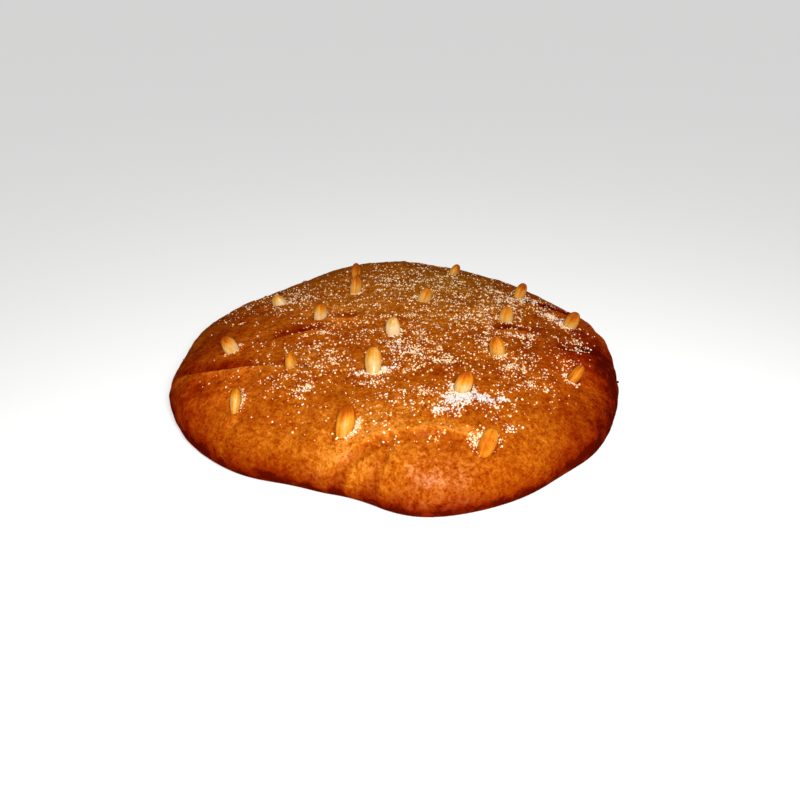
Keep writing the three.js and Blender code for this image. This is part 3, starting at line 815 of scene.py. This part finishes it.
# thicker trails, as it fell from the fingers or slid against a fold: from, to, width, and the share covered
SUGAR_TRAILS = [
    ((24, -85), (37, -80), 5.5, 0.19), ((17, -94), (27, -92), 3, 0.14), ((42, -84), (50, -82), 5, 0.19),
    ((24, -74), (30, -76), 3, 0.1), ((54, -74), (64, -66), 5, 0.04), ((-53, -79), (-46, -69), 2.5, 0.09),
    ((-49, -40), (-38, -40), 2.5, 0.08), ((-24, -61), (-4, -58), 3, 0.14), ((-19, -69), (-6, -67), 2, 0.12),
    ((63, -20), (76, -21), 2, 0.12), ((87, 18), (103, 4), 3, 0.12), ((-2, -36), (8, -44), 4, 0.05),
    ((60, 50), (72, 46), 3, 0.06), ((-20, -112), (30, -108), 3, 0.02), ((-46, -22), (-36, -20), 3, 0.04),
]
# sugar gathered against an almond: its number, the way it lies from the almond, how much
BY_ALMONDS = [
    (2, -60, 0.5), (4, -90, 0.5), (5, 215, 1.0), (7, 235, 0.7), (8, -80, 0.3), (9, -50, 0.6), (11, -20, 0.5),
    (12, -30, 0.4), (14, -90, 1.0), (15, -90, 1.2), (16, 200, 1.1), (17, 0, 0.7), (18, -20, 1.0), (18, -70, 0.4),
    (19, 170, 0.8), (19, -70, 0.6), (19, 60, 0.35),
]
WIDE_PATCH = 40  # a patch as wide as this is thin everywhere and makes no heap
SUGAR_REACH = (0.82, 0.93)  # shares of the radius: it thins out between them, as it rolled off the edge
SUGAR_ABOVE = 15
STREAKS = {"along_x": 6.5, "along_y": 2.6, "grain": 2.2, "grainy": 0.6, "off_wrinkles": 0.6}
# how much of its patch's sugar lies between the streaks, and how much more in them
SPARSE, DENSE = 0.28, 2.0
THICK = {"streaky": 0.08, "from": 0.12, "to": 0.3, "more": 0.14}  # where the cover is thick, it closes up
BESIDE = {"share": 0.5, "off": 1.0, "width": 1.3}  # what lies against an almond
BARE_BY_ALMOND = (-0.2, 0.6)
# streak values between which sugar sets in: in a patch, where it is thick, and against an almond
IN_STREAKS, IN_THICK, IN_STREAKS_BESIDE = (-0.1, 0.6), (-0.3, 0.4), (-0.6, 0.2)
DUST = 0.28  # how white the crust is between the crystals of a heap
DUSTED = (0.12, 0.45)
CRYSTAL = {"least": 0.34, "most": 0.95, "flat": 0.8, "narrow": 0.75, "broad": 1.25}
FULL_TURN = 6.28
CRYSTALS_AT_MOST = 8.5  # for each square millimetre where the sugar covers all
HEAP_HEIGHT = 1.8
SUGAR_SEED = 3

cover = with_patches(np.zeros(len(points)), x, y, SUGAR_PATCHES)
heap = with_patches(np.zeros(len(points)), x, y, [row for row in SUGAR_PATCHES if row[2] < WIDE_PATCH])
for start, end, width, amount in SUGAR_TRAILS:
    along = np.array(end) - np.array(start)
    share_along = ((x - start[0]) * along[0] + (y - start[1]) * along[1]) / (along @ along)
    nearest = np.array(start)[:, None] + along[:, None] * np.clip(share_along, 0, 1)
    trail = amount * bell(np.hypot(x - nearest[0], y - nearest[1]), width)
    cover += trail
    heap += trail
streak = lumps(np.stack([x, y + drift, 0 * x], -1), (STREAKS["along_x"], STREAKS["along_y"], 1), seed=41)
streak = streak + STREAKS["grainy"] * lumps(points, STREAKS["grain"], seed=42)
clumped = smooth(streak - STREAKS["off_wrinkles"] * wrinkle, *IN_STREAKS)
thick = smooth(cover + THICK["streaky"] * streak, THICK["from"], THICK["to"])
amount = cover * (SPARSE + DENSE * clumped) + THICK["more"] * thick * smooth(streak, *IN_THICK)
for number, towards, more in BY_ALMONDS:
    ax, ay = ALMONDS[number - 1][:2]
    off = beside_almond(points, ALMONDS[number - 1])
    way = 0.5 + 0.5 * np.cos(np.arctan2(y - ay, x - ax) - math.radians(towards))
    against = bell(off - BESIDE["off"], BESIDE["width"])
    amount += BESIDE["share"] * more * way**2 * against * smooth(streak, *IN_STREAKS_BESIDE)
amount *= 1 - smooth(share, *SUGAR_REACH)
amount *= z > SUGAR_ABOVE
for almond in ALMONDS:
    amount *= smooth(beside_almond(points, almond), *BARE_BY_ALMOND)
amount = np.clip(amount, 0, 1)
paint(crust.data, "sugar", amount)
paint(crust.data, "dust", smooth(amount, *DUSTED) * DUST)
paint(crust.data, "heap", np.clip(heap, 0, 1))

sugar_tree = bpy.data.node_groups.new("scattered_sugar", "GeometryNodeTree")
sugar_sockets = {
    "Skin": ("NodeSocketGeometry", None),
    "Crystals Per Area": ("NodeSocketFloat", 1.0),
    "Least": ("NodeSocketFloat", CRYSTAL["least"] * MM),
    "Most": ("NodeSocketFloat", CRYSTAL["most"] * MM),
    "Heap Height": ("NodeSocketFloat", HEAP_HEIGHT * MM),
    "Seed": ("NodeSocketInt", SUGAR_SEED),
    "Finish": ("NodeSocketMaterial", None),
}
s, given = open_rule(sugar_tree, sugar_sockets)
painted = lambda name: s.node("GeometryNodeInputNamedAttribute", {"data_type": "FLOAT"}, {"Name": name})
spots, outward = s.node(
    "GeometryNodeDistributePointsOnFaces",
    {"distribute_method": "RANDOM"},
    {"Mesh": given["Skin"], "Density": painted("sugar") * given["Crystals Per Area"], "Seed": given["Seed"]},
    ("Points", "Normal"),
)


def chance(seed, low=0.0, high=1.0):
    """A random value for each crystal, or three where low and high have three."""
    kind, first, output = ("FLOAT_VECTOR", 0, 0) if isinstance(low, tuple) else ("FLOAT", 2, 1)
    sockets = {first: low, first + 1: high, "Seed": seed}
    return s.node("FunctionNodeRandomValue", {"data_type": kind}, sockets, output)


def store_on(grains, name, value):
    """Gives each crystal a value for its finish."""
    kind = {"data_type": "FLOAT", "domain": "INSTANCE"}
    return s.node("GeometryNodeStoreNamedAttribute", kind, {"Geometry": grains, "Name": name, "Value": value})


raised = painted("heap") * chance(5) * given["Heap Height"]
lifted = s.node("ShaderNodeVectorMath", {"operation": "SCALE"}, {0: outward, "Scale": raised})
spots = s.node("GeometryNodeSetPosition", {}, {"Geometry": spots, "Offset": lifted})
crystal = s.node("GeometryNodeMeshCube", {}, {"Size": (1.0, 1.0, CRYSTAL["flat"])})
spread_size = chance(6)
size = given["Least"] + (given["Most"] - given["Least"]) * spread_size * spread_size
shape = chance(7, (CRYSTAL["narrow"],) * 3, (CRYSTAL["broad"],) * 3)
shape = s.node("ShaderNodeVectorMath", {"operation": "SCALE"}, {0: shape, "Scale": size})
turn = chance(8, (0.0,) * 3, (FULL_TURN,) * 3)
placed = {"Points": spots, "Instance": crystal, "Rotation": turn, "Scale": shape}
crystals = s.node("GeometryNodeInstanceOnPoints", {}, placed)
crystals = store_on(crystals, "melted", chance(9))
crystals = store_on(crystals, "heap_here", painted("heap"))
crystals = s.node("GeometryNodeRealizeInstances", {}, {"Geometry": crystals})
crystals = s.node("GeometryNodeSetMaterial", {}, {"Geometry": crystals, "Material": given["Finish"]})
s.node("NodeGroupOutput", {}, {"Geometry": crystals})

# loose crystals, those that took on the oil and the crust's colour, and those in a heap
LOOSE, OILY, HEAPED = (0.87, 0.73, 0.54, 1), (0.86, 0.53, 0.18, 1), (0.7, 0.645, 0.59, 1)
CLOUD_IN_CRYSTAL = 0.0006  # metres across
BURIED = (0.06, 0.2)

sugar_finish, r = new_finish("white_sugar_crystal")
melted = r.painted("melted")
place = r.node("ShaderNodeTexCoord", {}, {}, "Object")
cloud = r.lumps(place, CLOUD_IN_CRYSTAL)
buried = r.painted("heap_here")
colour = r.mix(r.between(melted + (cloud - 0.5) * 0.4 - buried * 1.6, 0.1, 0.9), LOOSE, OILY)
colour = r.mix(r.between(buried, *BURIED), colour, HEAPED)
seal(r, {"Base Color": colour, "Roughness": 0.3 + cloud * 0.35, "Specular IOR Level": 0.35})

values = {
    "Crystals Per Area": CRYSTALS_AT_MOST / MM**2,
    "Least": CRYSTAL["least"] * MM,
    "Most": CRYSTAL["most"] * MM,
    "Heap Height": HEAP_HEIGHT * MM,
    "Seed": SUGAR_SEED,
    "Finish": sugar_finish,
}
sugar = in_scene("scattered_sugar", make_by_rule("scattered_sugar", sugar_tree, crust.data.copy(), values))
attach(sugar, "root")
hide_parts("crust")


# ---- The scorched specks ----
# Crumbs of the dough that stuck to its skin and its edge and burned black: small rough lumps of the same dough,
# baked fast to the crust.

# towards in degrees from +X, share of the radius, size
SCORCHED = [
    (226.2, 0.557, 1.3), (227.6, 0.56, 0.8), (11.4, 0.9, 1.4), (9.3, 0.91, 1.1), (13.0, 0.93, 0.9),
    (120.5, 0.83, 1.5), (170.4, 0.91, 1.5), (167.0, 0.93, 1.0), (-15.6, 0.985, 1.6), (-19.2, 0.988, 1.3),
    (-33, 0.97, 0.9), (62, 0.94, 1.3), (97, 0.92, 1.1), (142, 0.95, 1.4), (204, 0.985, 1.1), (186, 0.97, 0.8),
]
SPECK = {"rough": 0.45, "lumps": 2.2, "seeds_apart": 7.0, "stretch": (1.25, 0.9, 0.8), "raised": 0.2}
speck_points, speck_faces = [], []
for number, (towards, share_there, size) in enumerate(SCORCHED):
    form = bmesh.new()
    bmesh.ops.create_icosphere(form, subdivisions=2, radius=size / 2)
    spot, out = skin(np.array(math.radians(towards)), np.array(share_there))
    first = len(speck_points)
    start = Vector((number * SPECK["seeds_apart"], 0, 0))
    for v in form.verts:
        rough = 1 + SPECK["rough"] * noise.noise(v.co * (SPECK["lumps"] / size) + start)
        place_now = np.array(v.co) * rough * np.array(SPECK["stretch"]) + spot + out * size * SPECK["raised"]
        speck_points.append(tuple(place_now * MM + shift))
    speck_faces += [tuple(first + v.index for v in f.verts) for f in form.faces]
    form.free()
specks = new_object("scorched_specks", speck_points, speck_faces)
specks.data.shade_smooth()
CHARRED, LESS_CHARRED = (0.012, 0.005, 0.003, 1), (0.09, 0.022, 0.006, 1)
CHAR_GRAIN = 0.0008  # metres across
speck_finish, r = new_finish("scorched_crumb")
place = r.node("ShaderNodeTexCoord", {}, {}, "Object")
char = r.lumps(place, CHAR_GRAIN)
colour = r.mix(char, CHARRED, LESS_CHARRED)
seal(r, {"Base Color": colour, "Roughness": 0.75, "Specular IOR Level": 0.2})
specks.data.materials.append(speck_finish)
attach(specks, "root")
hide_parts("crust")


# ---- The floor, the light and the camera ----
# A plain pale floor, a soft box close above the camera and an even pale room.

FLOOR = 30  # metres from the middle to each side
PALE, WHITE = (0.72, 0.72, 0.71, 1), (1, 1, 1, 1)
FLOOR_GLOW, ROOM_LIGHT = 0.45, 0.28
LOOKS_DOWN = 32.87  # degrees
LIT_AT = Vector((0, 0, 0.02))

floor_corners = [(-FLOOR, -FLOOR, 0), (FLOOR, -FLOOR, 0), (FLOOR, FLOOR, 0), (-FLOOR, FLOOR, 0)]
floor = new_object("floor", floor_corners, [(0, 1, 2, 3)])
floor_finish, r = new_finish("pale_floor")
seal(r, {"Base Color": PALE, "Roughness": 0.8, "Emission Color": WHITE, "Emission Strength": FLOOR_GLOW})
floor.data.materials.append(floor_finish)

camera = in_scene("camera", bpy.data.cameras.new("camera"))
camera.location = (0.0006, -0.3605, 0.2125)
camera.rotation_euler = (math.radians(90 - LOOKS_DOWN), 0, 0)
camera.data.lens = 29.7
camera.data.sensor_width = 36
camera.data.clip_start = 0.01
bpy.context.scene.camera = camera

soft_box = in_scene("soft_box", bpy.data.lights.new("soft_box", "AREA"))
soft_box.data.shape = "DISK"
soft_box.data.size = 0.16
soft_box.data.energy = 2.6
soft_box.location = (0.045, -0.39, 0.3)
soft_box.rotation_euler = (LIT_AT - soft_box.location).to_track_quat("-Z", "Y").to_euler()

room = bpy.data.worlds.new("pale_room")
bpy.context.scene.world = room
room.use_nodes = True
room.node_tree.nodes["Background"].inputs["Color"].default_value = WHITE
room.node_tree.nodes["Background"].inputs["Strength"].default_value = ROOM_LIGHT
bpy.context.scene.view_settings.view_transform = "Standard"
